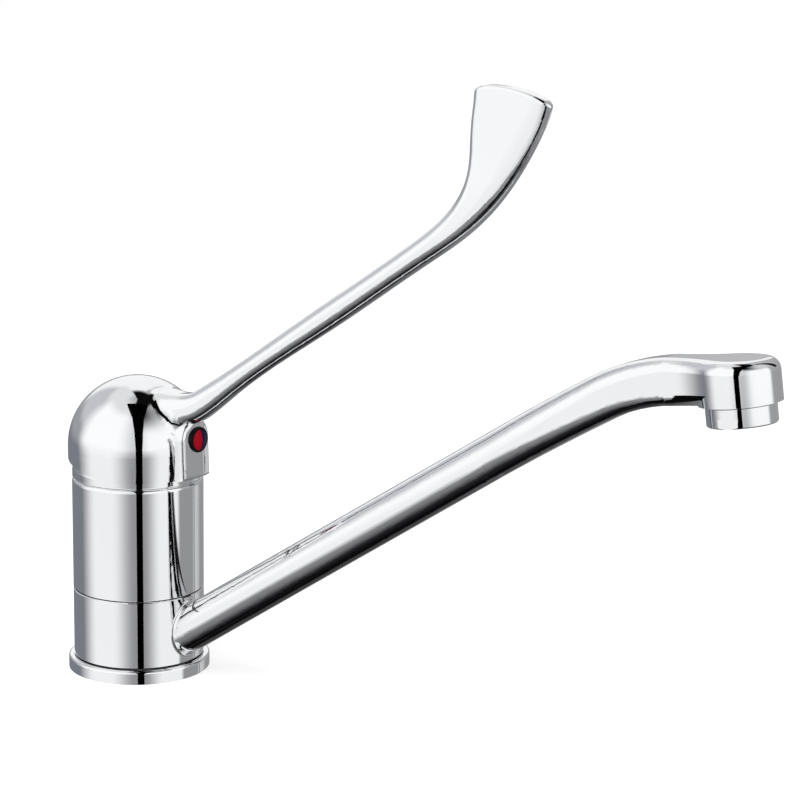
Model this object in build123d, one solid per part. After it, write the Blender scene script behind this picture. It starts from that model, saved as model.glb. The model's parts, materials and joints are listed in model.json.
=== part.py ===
from build123d import *
import os
from math import cos, hypot, radians, sin, sqrt, tan

# Elbow lever mixer tap. The spout and the lever point along -Y, hot is on -X.
# The origin is the middle of the foot's underside, on the axis that the spout and the lever turn about.

# General
overrun = 1.0
slide_fit = 0.1
seat_fit = 0.05

# Cartridge of the common 40 mm size
cartridge_radius = 19.9
cartridge_wall = 2.9
base_height = 5.0
base_rim = 3.0
fixed_disc_inset = 2.0
fixed_disc_height = 4.0
moving_disc_inset = 2.5
moving_disc_height = 4.0
mixing_depth = 2.2
mixing_width_share = 1.44
mixing_length_share = 1.08
mixing_corner_share = 0.4
mixing_offset_share = 0.22
carrier_height = 4.8
carrier_flat_depth = 1.2
turret_flange_play = 0.4
turret_flange_height = 2.5
turret_radius = 13.0
turret_crown = 3.7
cheek_width = 3.0
cheek_height = 3.6
cheek_length = 16.0
shoulder_height = 3.5
neck_wall = 2.5
neck_crown = 2.3
inlet_share = (0.567, 0.333)
outlet_share = 0.567
port_radius = 3.1
port_seal_wire = 1.4
port_seal_height = 1.3
peg_radius = 1.4
peg_length = 1.8
peg_x = 14.5
peg_y = 5.0

# Spindle, tilted about a cross pin
pivot_rise = 12.1
tilt_limit = 25.0
spindle_square = 8.0
spindle_crown = 5.2
spindle_square_low = 4.5
spindle_edge = 0.6
pin_radius = 2.0
pin_inset = 0.5
leg_radius = 2.7
foot_radius = 2.9
foot_play = 0.15
slot_play = 0.25

# Clamp nut
nut_thread_step = 2.1
nut_collar_height = 5.6
nut_height = 9.4
nut_flat_depth = 4.2
nut_bore_play = 0.3

# Body: a spigot that carries the spout, and the upper body round the cartridge
body_wall = 3.0
body_rise = 9.2
body_edge = 1.8
seam_edge = 0.35
spigot_step = 5.0
collar_height = 26.7
floor_rise = 10.2

# Bonnet ring: closes the body under the lever's rim, its top is a ball zone about the lever's pivot
bonnet_step = 0.1
bonnet_play = 0.35
bonnet_rise = 8.5
bonnet_spigot_wall = 0.9
bonnet_spigot_length = 2.4
bonnet_edge = 0.4

# Foot ring and its gasket
flange_step = 2.1
flange_height = 5.1
flange_edge = 1.1
gasket_rim = 1.5
gasket_width = 4.0
gasket_height = 2.0

# Threaded holes in the underside
stud_radius = 4.0
stud_depth = 14.0
hose_radius = 5.0
hose_depth = 13.0
hose_offset = 12.5

# Swivel seat between the spigot and the collar
seam_gap = 0.35
collar_play = 0.3
slide_ring_width = 2.1
slide_ring_height = 2.9
o_ring_wire = 0.95
o_ring_groove = 2.2
o_ring_inset = 5.3
channel_depth = 1.7
channel_inset = 7.1

# Spout tube, measured along the vertical plane that holds its middle line
tube_root_radius = 8.6
tube_bend_radius = 7.85
tube_end_width = 16.4
tube_end_height = 15.8
tube_end_round_share = 0.55
tube_rise_angle = 33.0
tube_middle_angle = 30.0
tube_end_angle = 8.5
tube_axis_height = 2.0
tube_start_inset = 5.5
tube_straight_reach = 159.3
tube_slow_bend = 900.0
tube_tight_bend = 69.5
root_blend = 1.1
water_way_inset = 2.5
water_way_root = 6.0
water_way_end = 4.7

# Spout head
head_neck = 23.0
head_radius = 13.6
head_lip = 0.1
head_fall_angle = 3.5
head_flare = 36.0
head_edge = 4.0
chamber_wall = 4.0
chamber_roof = 2.4
aerator_depth = 4.0

# Aerator
aerator_inset = 2.1
aerator_height = 6.9
aerator_gap = 0.15
aerator_edge = 0.5
aerator_thread_step = 0.6
aerator_wall = 1.4
aerator_lip = 1.0
aerator_lip_height = 1.0
spanner_depth = 0.5
spanner_height = 3.3
washer_height = 1.1
washer_width = 2.4
screen_height = 0.5
jet_hole = 0.7
jet_ring = 3.1
jet_rings = 2

# Lever dome
dome_step = 1.4
rim_gap = 2.45
rim_taper = 0.2
rim_wall = 0.9
skirt_height = 6.4
dome_band = 3.35
dome_wall = 1.7
rear_relief_angle = 10.6
rear_relief_start = 6.3

# Lever arm and elbow blade
arm_angle = 34.1
arm_length = 100.2
arm_depth = 9.0
arm_width = 9.4
arm_round_share = 0.91
arm_blend = 7.0
blade_reach = 48.3
blade_rise = 58.1
blade_thickness = 6.0
tip_inner_corner = 7.0
tip_outer_corner = 4.5
tip_rim = 1.2

# Chin under the arm, with the indicator plug and the clamp screw
chin_width = 16.2
chin_low_step = 3.5
chin_high_step = 2.6
chin_edge = 1.8
mark_rise = 5.4
plug_radius = 4.85
plug_depth = 2.4
plug_rise = 1.0
plug_edge = 0.5
plug_stem_length = 3.0
half_mark_inset = 0.85
half_mark_depth = 0.6
half_mark_gap = 0.12
half_mark_crown = 1.0
socket_radius = 8.0
socket_rise = 10.0
screw_tunnel_wall = 2.2
screw_radius = 3.0
screw_length = 8.0
screw_hex = 3.0
screw_hex_depth = 3.0

# Radii that follow from the sizes above
nut_thread_radius = cartridge_radius + nut_thread_step
body_radius = nut_thread_radius + body_wall
spigot_radius = body_radius - spigot_step
flange_radius = body_radius + flange_step
gasket_outer = flange_radius - gasket_rim
gasket_inner = gasket_outer - gasket_width
collar_bore = spigot_radius + collar_play
cartridge_inner = cartridge_radius - cartridge_wall
fixed_disc_radius = cartridge_inner - fixed_disc_inset
moving_disc_radius = fixed_disc_radius - moving_disc_inset
carrier_flats = 2 * (moving_disc_radius - carrier_flat_depth)
turret_flange_radius = cartridge_inner - turret_flange_play
neck_radius = turret_radius + slide_fit + neck_wall
nut_flats = 2 * (nut_thread_radius - nut_flat_depth)
aerator_radius = head_radius - aerator_inset
aerator_thread = aerator_radius - aerator_thread_step
aerator_bore = aerator_thread - aerator_wall
chamber_radius = head_radius - chamber_wall
dome_radius = body_radius + dome_step
rim_radius = dome_radius - rim_taper
rim_inner = rim_radius - rim_wall
bonnet_radius = body_radius - bonnet_step
bonnet_bore = nut_thread_radius - slide_fit - bonnet_spigot_wall
chin_low_radius = dome_radius + chin_low_step
chin_high_radius = dome_radius + chin_high_step

# Heights that follow from the sizes above
collar_top = flange_height + collar_height
o_ring_low = flange_height + o_ring_inset
o_ring_high = collar_top - o_ring_inset
channel_low = flange_height + channel_inset
channel_high = collar_top - channel_inset
cavity_floor = collar_top + floor_rise
disc_low = cavity_floor + base_height
disc_middle = disc_low + fixed_disc_height
disc_top = disc_middle + moving_disc_height
turret_low = disc_top + carrier_height + slide_fit
turret_shoulder = turret_low + turret_flange_height
shoulder_top = turret_shoulder + slide_fit + shoulder_height
pivot_height = turret_shoulder + pivot_rise
turret_top = pivot_height + turret_crown
neck_top = pivot_height + neck_crown
bonnet_top = pivot_height + bonnet_rise
foot_height = disc_top + foot_radius + slide_fit
body_top = shoulder_top + body_rise
rim_height = body_top + rim_gap
dome_centre = rim_height + skirt_height + dome_band
mark_height = dome_centre + mark_rise
spindle_top = mark_height + spindle_crown
socket_low = pivot_height + socket_rise

# Lengths that follow from the sizes above
head_drop = tube_end_height / 2 + head_lip
aerator_seat = head_drop - aerator_depth
disc_rest = (pivot_height - foot_height) * sin(radians(tilt_limit)) / 2
inlet_x, inlet_y = (share * fixed_disc_radius for share in inlet_share)
outlet_y = outlet_share * fixed_disc_radius
chin_lean = (chin_low_radius - chin_high_radius) / (mark_height + chin_width / 2 - rim_height)
chin_face = chin_low_radius - (mark_height - rim_height) * chin_lean

# Vertical plane of symmetry: local x is the reach in front of the axis, local y is the height
side = Plane(origin=(0, 0, 0), x_dir=(0, -1, 0), z_dir=(-1, 0, 0))
low_face = (Align.CENTER, Align.CENTER, Align.MIN)

# Places along the arm's root, as shares of the dome's radius from the dome's middle:
# upper reach, upper height, lower reach, lower height, width as a share of the arm's, roundness
root_shares = (
    (0.455, 0.833, 0.455, 0.367, 2.02, 0.873),
    (0.758, 0.845, 0.777, 0.390, 1.70, 0.894),
    (1.023, 0.875, 1.098, 0.443, 1.38, 0.843),
    (1.242, 0.992, 1.390, 0.621, 1.15, 0.855),
)
arm_start_share = (1.689, 1.075)

# Places along the blade, as shares of its reach and rise from the end of the straight arm:
# upper reach, upper height, lower reach, lower height, the step from arm to blade thickness, the lower ease
blade_shares = (
    (0.231, 0.266, 0.381, 0.128, 0.22, 0.15),
    (0.352, 0.440, 0.623, 0.322, 0.50, 0.30),
    (0.382, 0.600, 0.816, 0.542, 0.78, 0.32),
    (0.389, 0.790, 0.955, 0.753, 0.96, 0.25),
    (0.400, 1.030, 1.045, 1.030, 1.00, 0.15),
)
tip_shares = ((0.385, 0.985), (0.734, 0.985), (1.020, 0.905))
tip_side_shares = ((1.12, 0.30), (0.30, 0.30))
tip_rim_share = 0.8
tip_waste_shares = ((-0.2, 0.45), (1.5, 0.45), (1.5, 1.4), (-0.2, 1.4))


def upright(radius, low, high):
    return Pos(0, 0, low) * Cylinder(radius, high - low, align=low_face)


def sleeve(outer, inner, low, high):
    return upright(outer, low, high) - upright(inner, low - overrun, high + overrun)


def rims(shape, radius, height):
    """Round edges of one radius at one height."""
    return [
        e
        for e in shape.edges().filter_by(GeomType.CIRCLE)
        if abs(e.radius - radius) < seat_fit / 10 and abs(e.arc_center.Z - height) < seat_fit / 10
    ]


def port_places():
    return [(-inlet_x, -inlet_y), (inlet_x, -inlet_y), (0, outlet_y)]


def along(angle):
    return Vector(cos(radians(angle)), sin(radians(angle)))


def outline(points):
    return make_face(Polyline(*points, close=True))


def mixer_body():
    shape = upright(spigot_radius, 0, collar_top + overrun) + upright(body_radius, collar_top, body_top)
    shape = fillet(rims(shape, body_radius, body_top), body_edge)
    shape = chamfer(rims(shape, body_radius, collar_top), seam_edge)
    thread_low = shoulder_top - slide_fit
    shape -= upright(cartridge_radius + 2 * slide_fit, cavity_floor, body_top)
    shape -= upright(nut_thread_radius, thread_low, body_top + overrun)
    for middle in (o_ring_low, o_ring_high):
        root = spigot_radius - 2 * o_ring_wire + slide_fit
        low = middle - o_ring_groove / 2
        shape -= sleeve(spigot_radius + overrun, root, low, low + o_ring_groove)
    shape -= upright(stud_radius, -overrun, stud_depth)
    for sign in (-1, 1):
        shape -= Pos(sign * hose_offset, 0, 0) * upright(hose_radius, -overrun, hose_depth)
        way = loft(
            [
                Pos(sign * hose_offset, 0, hose_depth - overrun) * Circle(port_radius),
                Pos(sign * inlet_x, -inlet_y, cavity_floor + overrun) * Circle(port_radius),
            ]
        )
        shape -= way
        peg_low = cavity_floor - peg_length - slide_fit
        peg_hole = upright(peg_radius + slide_fit, peg_low, cavity_floor + overrun)
        shape -= Pos(sign * peg_x, peg_y, 0) * peg_hole
    cross_height = (channel_low + channel_high) / 2
    shape -= Pos(0, outlet_y, 0) * upright(port_radius, cross_height, cavity_floor + overrun)
    cross = Cylinder(port_radius, spigot_radius, align=low_face)
    shape -= Pos(0, outlet_y, cross_height) * Rot(-90, 0, 0) * cross
    return shape


def base_flange():
    shape = sleeve(flange_radius, spigot_radius + seat_fit, 0, flange_height)
    shape = fillet(rims(shape, flange_radius, flange_height), flange_edge)
    return shape - sleeve(gasket_outer, gasket_inner, -overrun, gasket_height)


def base_gasket():
    return sleeve(gasket_outer - seat_fit, gasket_inner + seat_fit, 0, gasket_height - seat_fit)


def slide_ring(low):
    inner = spigot_radius + seat_fit
    return sleeve(inner + slide_ring_width, inner, low, low + slide_ring_height)


def o_ring(middle):
    ring_radius = spigot_radius + slide_fit - o_ring_wire
    return Pos(0, 0, middle) * Torus(ring_radius, o_ring_wire)


def spout_line(start):
    """Middle line of the tube: straight, a slow bend, then a tight bend to the head's slope."""
    slope = tan(radians(tube_rise_angle))
    low = (start, tube_axis_height + slope * start)
    high = (tube_straight_reach, tube_axis_height + slope * tube_straight_reach)
    slow = JernArc(high, along(tube_rise_angle), tube_slow_bend, tube_middle_angle - tube_rise_angle)
    tight = JernArc(slow @ 1, slow % 1, tube_tight_bend, tube_end_angle - tube_middle_angle)
    return Line(low, high), slow, tight


def head_place():
    """Frame of the head: origin where the tube's middle line meets the outlet axis."""
    tight = spout_line(body_radius - tube_start_inset)[-1]
    middle = (tight @ 1) + along(tube_end_angle) * head_neck
    outward = (0, -cos(radians(tube_end_angle)), sin(radians(tube_end_angle)))
    upward = (0, sin(radians(tube_end_angle)), cos(radians(tube_end_angle)))
    return Plane(origin=(0, -middle.X, middle.Y), x_dir=outward, z_dir=upward)


def swept(path, sections):
    wire = Wire((side * Curve(list(path))).edges())
    ends = [Plane(origin=wire @ at, x_dir=(1, 0, 0), z_dir=wire % at) * s for at, s in zip((0, 1), sections)]
    return sweep(ends, path=wire, multisection=True)


def head_plan():
    """Plan of the head: a round end, flared into the width of the tube."""
    apart = head_radius + head_flare
    half = tube_end_width / 2
    flare_y = half + head_flare
    flare_x = -sqrt(apart**2 - flare_y**2)
    touch = Vector(flare_x, flare_y) * (head_radius / apart)
    to_corridor = Vector(0, -1)
    to_head = (Vector(0, 0) - Vector(flare_x, flare_y)).normalized()
    middle = Vector(flare_x, flare_y) + (to_corridor + to_head).normalized() * head_flare
    corner = Vector(flare_x, half)
    start = Vector(-head_neck, half)
    mirrored = [Vector(p.X, -p.Y) for p in (touch, middle, corner, start)]
    edges = [
        Line(start, corner),
        ThreePointArc(corner, middle, touch),
        ThreePointArc(touch, (head_radius, 0), mirrored[0]),
        ThreePointArc(mirrored[0], mirrored[1], mirrored[2]),
        Line(mirrored[2], mirrored[3]),
        Line(mirrored[3], start),
    ]
    return make_face(Curve(edges).edges())


def spout_head():
    """Outer form of the head in its own frame."""
    half = tube_end_height / 2
    block = Pos(0, 0, -half) * extrude(head_plan(), amount=tube_end_height)
    length = head_neck + head_radius + overrun
    fall = length * tan(radians(head_fall_angle))
    wedge = outline([(-head_neck, half), (length - head_neck, half), (length - head_neck, half - fall)])
    block -= extrude(Plane.XZ * wedge, amount=head_radius + overrun, both=True)
    chosen = [e for e in block.edges() if abs((e @ 0.5).Z) > half / 2 and (e @ 0.5).X > seat_fit - head_neck]
    block = fillet(chosen, head_edge)
    drum = Pos(0, 0, -head_drop) * Cylinder(head_radius, head_drop, align=low_face)
    return block + drum


def near_round(radius):
    """Round section with the same corners and sides as a rounded rectangle."""
    return RectangleRounded(2 * radius, 2 * radius, radius - seat_fit / 10)


def spout():
    straight, slow, tight = spout_line(body_radius - tube_start_inset)
    low = flange_height + seam_gap
    high = collar_top - seam_gap
    shape = upright(body_radius, low, high)
    shape += swept([straight], (near_round(tube_root_radius), near_round(tube_bend_radius)))
    root_reach = body_radius + 2 * tube_root_radius
    joint = [
        e
        for e in shape.edges()
        if all(abs(hypot((e @ t).X, (e @ t).Y) - body_radius) < seat_fit for t in (0, 0.3, 0.7, 1))
        and low + seam_edge < (e @ 0.5).Z < high - seam_edge
        and -(e @ 0.5).Y < root_reach
    ]
    shape = fillet(joint, root_blend)
    shape = chamfer(rims(shape, body_radius, low) + rims(shape, body_radius, high), seam_edge)
    end_corner = tube_end_round_share * min(tube_end_width, tube_end_height) / 2
    end_section = RectangleRounded(tube_end_width, tube_end_height, end_corner)
    shape += swept([slow, tight], (near_round(tube_bend_radius), end_section))
    shape += head_place() * spout_head()
    shape -= upright(collar_bore, 0, collar_top)
    seat = spigot_radius + 2 * seat_fit + slide_ring_width + slide_fit
    depth = slide_ring_height - seam_gap + slide_fit
    shape -= upright(seat, low - overrun, low + depth)
    shape -= upright(seat, high - depth, high + overrun)
    shape -= upright(collar_bore + channel_depth, channel_low, channel_high)
    place = head_place()
    inner_path = spout_line(spigot_radius + water_way_inset)
    way = swept(inner_path, (Circle(water_way_root), Circle(water_way_end)))
    narrow = water_way_end - slide_fit
    neck_way = Cylinder(narrow, head_neck + overrun, align=(Align.CENTER, Align.CENTER, Align.MAX))
    roof = tube_end_height / 2 - chamber_roof
    chamber = Pos(0, 0, -aerator_seat) * Cylinder(chamber_radius, aerator_seat + roof, align=low_face)
    thread = Pos(0, 0, -head_drop - overrun) * Cylinder(
        aerator_thread + slide_fit, head_drop + overrun - aerator_seat, align=low_face
    )
    return shape - way - place * (Rot(0, 90, 0) * neck_way) - place * chamber - place * thread


def aerator_housing():
    top = -aerator_seat - washer_height
    low = -head_drop - aerator_height
    sleeve_top = -head_drop - aerator_gap
    body = Pos(0, 0, low) * Cylinder(aerator_radius, sleeve_top - low, align=low_face)
    body = chamfer(body.edges().filter_by(GeomType.CIRCLE), aerator_edge)
    body += Pos(0, 0, low) * Cylinder(aerator_thread, top - low, align=low_face)
    flat_box = Box(4 * aerator_radius, aerator_radius, spanner_height + overrun, align=low_face)
    for sign in (-1, 1):
        body -= Pos(0, sign * (3 * aerator_radius / 2 - spanner_depth), low - overrun) * flat_box
    bore = top - low + overrun
    body -= Pos(0, 0, low + aerator_lip_height) * Cylinder(aerator_bore, bore, align=low_face)
    body -= Pos(0, 0, low - overrun) * Cylinder(aerator_bore - aerator_lip, bore, align=low_face)
    return head_place() * body


def aerator_insert():
    low = -head_drop - aerator_height + aerator_lip_height
    top = -aerator_seat - washer_height - screen_height
    body = Pos(0, 0, low) * Cylinder(aerator_bore - seat_fit, top - low, align=low_face)
    for ring in range(1, jet_rings + 1):
        for hole in PolarLocations(ring * jet_ring, ring * 6):
            jet = Cylinder(jet_hole, top - low + 2 * overrun, align=low_face)
            body -= hole * Pos(0, 0, low - overrun) * jet
    return head_place() * body


def aerator_screen():
    low = -aerator_seat - washer_height - screen_height
    disc = Cylinder(aerator_bore - seat_fit, screen_height - seat_fit, align=low_face)
    return head_place() * Pos(0, 0, low) * disc


def aerator_washer():
    low = -aerator_seat - washer_height
    outer = aerator_thread - slide_fit
    return head_place() * sleeve(outer, outer - washer_width, low, low + washer_height)


def cartridge_base():
    step = cavity_floor + base_rim
    shape = upright(cartridge_radius, cavity_floor, step)
    shape += upright(cartridge_inner - seat_fit, cavity_floor, disc_low)
    seal_seat = port_radius + port_seal_wire
    for x, y in port_places():
        shape -= Pos(x, y, 0) * upright(port_radius, 0, disc_low + overrun)
        shape -= Pos(x, y, 0) * upright(seal_seat, cavity_floor - overrun, cavity_floor + port_seal_height)
        shape -= Pos(x, y, 0) * upright(seal_seat, disc_low - port_seal_height, disc_low + overrun)
    for sign in (-1, 1):
        shape += Pos(sign * peg_x, peg_y, 0) * upright(peg_radius, cavity_floor - peg_length, step)
    return shape


def seals(low):
    """One rubber ring round each of the three ports."""
    outer = port_radius + port_seal_wire - seat_fit
    rings = [Pos(x, y, 0) * sleeve(outer, port_radius, low, low + port_seal_height) for x, y in port_places()]
    return Compound(rings)


def fixed_ceramic_disc():
    shape = upright(fixed_disc_radius, disc_low, disc_middle)
    for x, y in port_places():
        shape -= Pos(x, y, 0) * upright(port_radius, disc_low - overrun, disc_middle + overrun)
    return shape


def moving_ceramic_disc():
    shape = upright(moving_disc_radius, disc_middle, disc_top)
    width, length, corner, offset = (
        share * moving_disc_radius
        for share in (mixing_width_share, mixing_length_share, mixing_corner_share, mixing_offset_share)
    )
    pocket = extrude(RectangleRounded(width, length, corner), amount=mixing_depth)
    shape -= Pos(0, offset, disc_middle) * pocket
    return Pos(0, disc_rest, 0) * shape


def disc_carrier():
    shape = upright(moving_disc_radius, disc_top, disc_top + carrier_height)
    depth = 2 * moving_disc_radius
    shape &= Pos(0, 0, disc_top) * Box(carrier_flats, depth, carrier_height, align=low_face)
    socket = upright(foot_radius + foot_play, disc_top - overrun, turret_low)
    return Pos(0, disc_rest, 0) * shape - socket


def cartridge_housing():
    low = cavity_floor + base_rim
    shape = upright(cartridge_radius, low, shoulder_top) + upright(neck_radius, low, neck_top)
    shape -= upright(cartridge_inner, low - overrun, turret_shoulder + slide_fit)
    return shape - upright(turret_radius + slide_fit, low, neck_top + overrun)


def tilt_slot():
    """Side outline of the slot that the tilting spindle sweeps, in reach and height."""
    fall = pivot_height - turret_low
    slope = tan(radians(tilt_limit))
    stretch = 1 / cos(radians(tilt_limit))
    half = spindle_square / 2
    swung = half * stretch + slot_play
    return outline(
        [
            (half + slot_play, turret_top + overrun),
            (swung, pivot_height),
            (fall * slope + leg_radius * stretch + slot_play + overrun * slope, turret_low - overrun),
            (-leg_radius - 2 * slot_play, turret_low - overrun),
            (-swung, pivot_height),
            (-swung - (turret_crown + overrun) * slope, turret_top + overrun),
        ]
    )


def cartridge_turret():
    shape = upright(turret_flange_radius, turret_low, turret_shoulder)
    shape += upright(turret_radius, turret_low, turret_top)
    cheek_low = turret_low - cheek_height
    cheek_start = carrier_flats / 2 + slide_fit
    cheek = Box(cheek_width, cheek_length, cheek_height, align=low_face)
    inside = upright(turret_flange_radius, cheek_low, turret_low)
    for sign in (-1, 1):
        shape += inside & Pos(sign * (cheek_start + cheek_width / 2), 0, cheek_low) * cheek
    shape -= extrude(side * tilt_slot(), amount=spindle_square / 2 + slide_fit, both=True)
    pin_hole = Cylinder(pin_radius, 2 * turret_radius + overrun)
    return shape - Pos(0, 0, pivot_height) * Rot(0, 90, 0) * pin_hole


def spindle():
    low = pivot_height - spindle_square_low
    square = Box(spindle_square, spindle_square, spindle_top - low, align=low_face)
    shape = Pos(0, 0, low) * chamfer(square.edges().group_by(Axis.Z)[-1], spindle_edge)
    shape += upright(leg_radius, foot_height, low + overrun)
    shape += Pos(0, 0, foot_height) * Sphere(foot_radius)
    pin_hole = Cylinder(pin_radius + seat_fit, spindle_square + overrun)
    return shape - Pos(0, 0, pivot_height) * Rot(0, 90, 0) * pin_hole


def spindle_pin():
    length = 2 * (turret_radius - pin_inset)
    return Pos(0, 0, pivot_height) * Rot(0, 90, 0) * Cylinder(pin_radius, length)


def cartridge_nut():
    collar_end = shoulder_top + nut_collar_height
    shape = upright(nut_thread_radius - slide_fit, shoulder_top, collar_end)
    hexagon = RegularPolygon(nut_flats / 2, 6, major_radius=False)
    shape += Pos(0, 0, shoulder_top) * extrude(hexagon, amount=nut_height)
    inner = neck_radius + nut_bore_play
    return shape - upright(inner, shoulder_top - overrun, shoulder_top + nut_height + overrun)


def bonnet_ring():
    rim_reach = hypot(rim_inner, rim_height - pivot_height)
    shape = upright(bonnet_radius, body_top, bonnet_top)
    shape &= Pos(0, 0, pivot_height) * Sphere(rim_reach - bonnet_play)
    shape = fillet(shape.faces().sort_by(Axis.Z)[-1].edges(), bonnet_edge)
    shape = chamfer(rims(shape, bonnet_radius, body_top), seam_edge)
    low = body_top - bonnet_spigot_length
    shape += upright(nut_thread_radius - slide_fit, low, body_top)
    return shape - upright(bonnet_bore, low - overrun, bonnet_top + overrun)


def dome(radius, base_radius, low, centre, shoulder):
    """Turned dome: a skirt that widens a little from the rim, and a ball end."""
    slant = radius * sin(radians(45))
    edges = [
        Line((0, low), (base_radius, low)),
        Line((base_radius, low), (radius, shoulder)),
        Line((radius, shoulder), (radius, centre)),
        ThreePointArc((radius, centre), (slant, centre + slant), (0, centre + radius)),
        Line((0, centre + radius), (0, low)),
    ]
    return revolve(Plane.XZ * make_face(Curve(edges).edges()), axis=Axis.Z)


def section_outline(depth, width, corner, ease):
    """Outline with round corners above and, where ease exceeds them, drawn-out elliptic corners below."""
    high, low, half = depth / 2, -depth / 2, width / 2
    edges = [Line((high, corner - half), (high, half - corner))]
    edges.append(EllipticalCenterArc((high - corner, half - corner), corner, corner, 0))
    edges.append(Line((high - corner, half), (low + ease, half)))
    edges.append(EllipticalCenterArc((low + ease, half - corner), ease, corner, 90))
    edges.append(Line((low, half - corner), (low, corner - half)))
    edges.append(EllipticalCenterArc((low + ease, corner - half), ease, corner, 180))
    edges.append(Line((low + ease, -half), (high - corner, -half)))
    edges.append(EllipticalCenterArc((high - corner, corner - half), corner, corner, 270))
    return make_face(Curve(edges).edges())


def arm_section(upper, lower, width, roundness, ease_share=0):
    """Section of the arm between a point on its upper edge and one on its lower edge.

    Its corners are a share of half its shorter side, and ease_share draws the lower ones out along the depth.
    """
    across = Vector(*upper) - Vector(*lower)
    middle = (Vector(*upper) + Vector(*lower)) * 0.5
    up = across.normalized()
    plane = Plane(
        origin=(0, -middle.X, middle.Y),
        x_dir=(0, -up.X, up.Y),
        z_dir=(0, -up.Y, -up.X),
    )
    corner = roundness * min(across.length, width) / 2
    ease = corner + ease_share * (across.length - 2 * corner)
    return plane * section_outline(across.length, width, corner, ease)


def arm_sections():
    found = []
    for ux, uz, lx, lz, width, roundness in root_shares:
        upper = (ux * dome_radius, dome_centre + uz * dome_radius)
        lower = (lx * dome_radius, dome_centre + lz * dome_radius)
        found.append(arm_section(upper, lower, width * arm_width, roundness))
    start = Vector(arm_start_share[0] * dome_radius, dome_centre + arm_start_share[1] * dome_radius)
    half = along(arm_angle + 90) * (arm_depth / 2)
    for share in (0, 0.5, 1):
        middle = start + along(arm_angle) * (arm_length * share)
        upper = middle + half
        lower = middle - half
        found.append(arm_section((upper.X, upper.Y), (lower.X, lower.Y), arm_width, arm_round_share))
    end = start + along(arm_angle) * arm_length
    for ux, uz, lx, lz, step, ease in blade_shares:
        upper = (end.X + ux * blade_reach, end.Y + uz * blade_rise)
        lower = (end.X + lx * blade_reach, end.Y + lz * blade_rise)
        width = arm_width + step * (blade_thickness - arm_width)
        found.append(arm_section(upper, lower, width, arm_round_share, ease))
    return found, end


def nearest(face, place):
    """The corner of a flat outline that lies nearest to a place."""
    return min(face.vertices(), key=lambda v: hypot(v.X - place[0], v.Y - place[1]))


def tip_waste(end):
    """What is cut from the end of the blade to give it two round corners."""

    def spread(shares):
        return [(end.X + x * blade_reach, end.Y + y * blade_rise) for x, y in shares]

    inner, crown, outer = spread(tip_shares)
    right, left = spread(tip_side_shares)
    kept = make_face(Curve([ThreePointArc(inner, crown, outer), Polyline(outer, right, left, inner)]).edges())
    kept = fillet(nearest(kept, inner), tip_inner_corner)
    kept = fillet(nearest(kept, outer), tip_outer_corner)
    waste = outline(spread(tip_waste_shares)) - kept
    return extrude(side * waste, amount=blade_thickness, both=True)


def rounded_tip(blade, end):
    """The blade with the rim of its cut end rounded over."""
    low = end.Y + tip_rim_share * blade_rise
    cut = [f for f in blade.faces() if f.geom_type == GeomType.CYLINDER and f.bounding_box().min.Z > low]
    rim = [e for f in cut for e in f.edges() if e.geom_type != GeomType.LINE]
    return fillet(rim, tip_rim)


def chin():
    """Arched boss under the arm, with a front that follows the dome."""
    half = chin_width / 2
    low = rim_height
    arch = Curve(
        [
            Line((-half, low), (half, low)),
            Line((half, low), (half, mark_height)),
            ThreePointArc((half, mark_height), (0, mark_height + half), (-half, mark_height)),
            Line((-half, mark_height), (-half, low)),
        ]
    )
    block = extrude(Plane.XZ * make_face(arch.edges()), amount=dome_radius + chin_width)
    block -= upright(dome_radius / 2, low - overrun, mark_height + chin_width)
    height = mark_height + half - low
    front = Cone(chin_low_radius, chin_high_radius, height, align=low_face)
    block &= Pos(0, 0, low) * front
    face = block.faces().filter_by(GeomType.CONE).sort_by(SortBy.AREA)[-1]
    return fillet(face.edges(), chin_edge)


def lever():
    sections, end = arm_sections()
    arm = rounded_tip(loft(sections) - tip_waste(end), end)
    ball = dome(dome_radius, rim_radius, rim_height, dome_centre, rim_height + skirt_height)
    shape = ball + arm
    centre = Vector(0, 0, dome_centre)
    joint = [
        e
        for e in shape.edges()
        if all(abs((e @ t - centre).length - dome_radius) < seat_fit for t in (0, 0.5, 1))
        and (e @ 0.5).Y < -seat_fit
        and e.geom_type == GeomType.BSPLINE
    ]
    shape = fillet(joint, arm_blend)
    shape += chin()
    cavity_radius = dome_radius - dome_wall
    cavity = dome(cavity_radius, rim_inner, rim_height, dome_centre, dome_centre - seat_fit)
    shape -= cavity
    reach = dome_radius + overrun
    lift = (reach + rear_relief_start) * tan(radians(rear_relief_angle))
    relief = outline([(rear_relief_start, rim_height), (-reach, rim_height), (-reach, rim_height + lift)])
    shape -= extrude(side * relief, amount=reach, both=True)
    socket_top = dome_centre + cavity_radius * cos(radians(tilt_limit))
    shape += upright(socket_radius, socket_low, socket_top)
    tunnel = Cylinder(screw_radius + screw_tunnel_wall, rim_inner + seat_fit, align=low_face)
    shape += Pos(0, 0, mark_height) * Rot(90, 0, 0) * tunnel
    square = spindle_square + 2 * seat_fit
    shape -= Pos(0, 0, socket_low - overrun) * Box(
        square, square, spindle_top + overrun + slide_fit - socket_low, align=low_face
    )
    bore = Cylinder(screw_radius + seat_fit, chin_low_radius + overrun, align=low_face)
    shape -= Pos(0, 0, mark_height) * Rot(90, 0, 0) * bore
    pocket = Cylinder(plug_radius + seat_fit, plug_depth + overrun, align=low_face)
    return shape - Pos(0, plug_depth - chin_face, mark_height) * Rot(90, 0, 0) * pocket


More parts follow.
